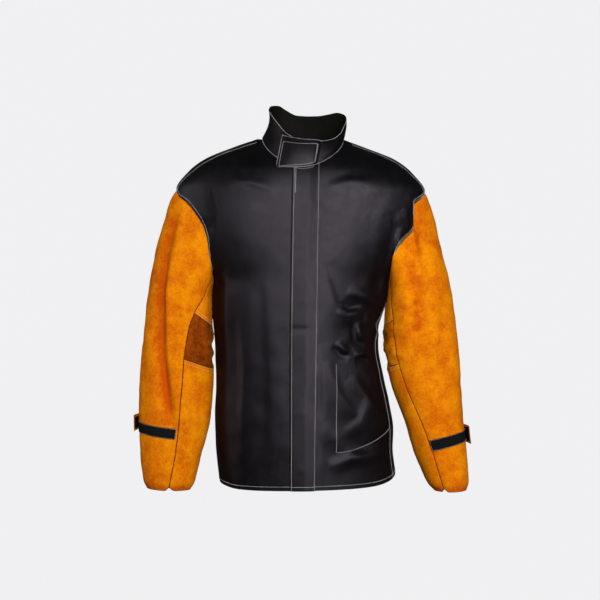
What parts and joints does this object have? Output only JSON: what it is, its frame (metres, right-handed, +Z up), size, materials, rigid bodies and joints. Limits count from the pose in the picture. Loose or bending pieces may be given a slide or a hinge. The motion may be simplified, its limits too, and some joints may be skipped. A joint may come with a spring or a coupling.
{
  "type": "leather welding jacket",
  "caption": "Stand-collar welding jacket with a black flame-resistant cotton body, golden split-leather sleeves, a hidden-snap front flap, a collar tab and wrist tabs.",
  "frame": {"origin": "centre of the neck opening, level with the middle of the neck seam, on the jacket's plane of symmetry", "axes": "+Z up along the hanging jacket, -Y out of the front that closes, +X towards the wearer's left"},
  "size_m": [0.7628, 0.2885, 0.8726],
  "materials": {
    "cotton": "satin",
    "split_leather": "suede",
    "hook_and_loop": "matte pile",
    "tape": "woven",
    "snap": "dark satin"
  },
  "bodies": {
    "jacket_body": {"right_front_panel": "cotton", "left_front_panel": "cotton", "back_panel": "cotton", "button_stand": "cotton", "snap_studs": "snap", "snap_back_plates": "snap", "collar_band": "cotton", "collar_lining": "cotton", "collar_loop_patch": "hook_and_loop", "hanging_loop": "tape", "inner_pocket": "cotton", "hem_fold_right": "cotton", "hem_fold_left": "cotton", "hem_fold_back": "cotton"},
    "front_flap": {"front_flap": "cotton", "front_flap_facing": "cotton", "snap_sockets": "snap", "snap_caps": "snap"},
    "collar_tab": {"collar_tab": "cotton", "collar_hook_patch": "hook_and_loop"},
    "left_sleeve": {"left_top_sleeve": "split_leather", "left_under_sleeve_upper": "split_leather", "left_under_sleeve_elbow": "split_leather", "left_under_sleeve_lower": "split_leather", "left_wrist_loop_tape": "hook_and_loop"},
    "left_wrist_tab": {"left_wrist_tab": "split_leather", "left_wrist_hook_tape": "hook_and_loop"},
    "right_sleeve": {"right_top_sleeve": "split_leather", "right_under_sleeve_upper": "split_leather", "right_under_sleeve_elbow": "split_leather", "right_under_sleeve_lower": "split_leather", "right_wrist_loop_tape": "hook_and_loop"},
    "right_wrist_tab": {"right_wrist_tab": "split_leather", "right_wrist_hook_tape": "hook_and_loop"}
  },
  "joints": [
    {"name": "flap_fold", "type": "hinge", "parent": "jacket_body", "child": "front_flap", "pos_m": [0.0333, -0.15197, -0.74682], "axis": [0, 0.0312, 0.9995], "range_deg": [0, 100]},
    {"name": "collar_tab_fold", "type": "hinge", "parent": "jacket_body", "child": "collar_tab", "pos_m": [0.03244, -0.10206, -0.04138], "axis": [0.0362, 0.2261, 0.9734], "range_deg": [0, 110]},
    {"name": "left_sleeve_raise", "type": "hinge", "parent": "jacket_body", "child": "left_sleeve", "pos_m": [0.279, 0, -0.091], "axis": [0, -1, 0], "range_deg": [0, 40]},
    {"name": "right_sleeve_raise", "type": "hinge", "parent": "jacket_body", "child": "right_sleeve", "pos_m": [-0.279, 0, -0.091], "axis": [0, 1, 0], "range_deg": [0, 40]},
    {"name": "left_wrist_tab_fold", "type": "hinge", "parent": "left_sleeve", "child": "left_wrist_tab", "pos_m": [0.32107, 0.03221, -0.64247], "axis": [-0.1738, 0.1567, 0.9722], "range_deg": [0, 100]},
    {"name": "right_wrist_tab_fold", "type": "hinge", "parent": "right_sleeve", "child": "right_wrist_tab", "pos_m": [-0.3135, 0.03721, -0.62555], "axis": [-0.0757, -0.156, -0.9849], "range_deg": [0, 100]}
  ]
}
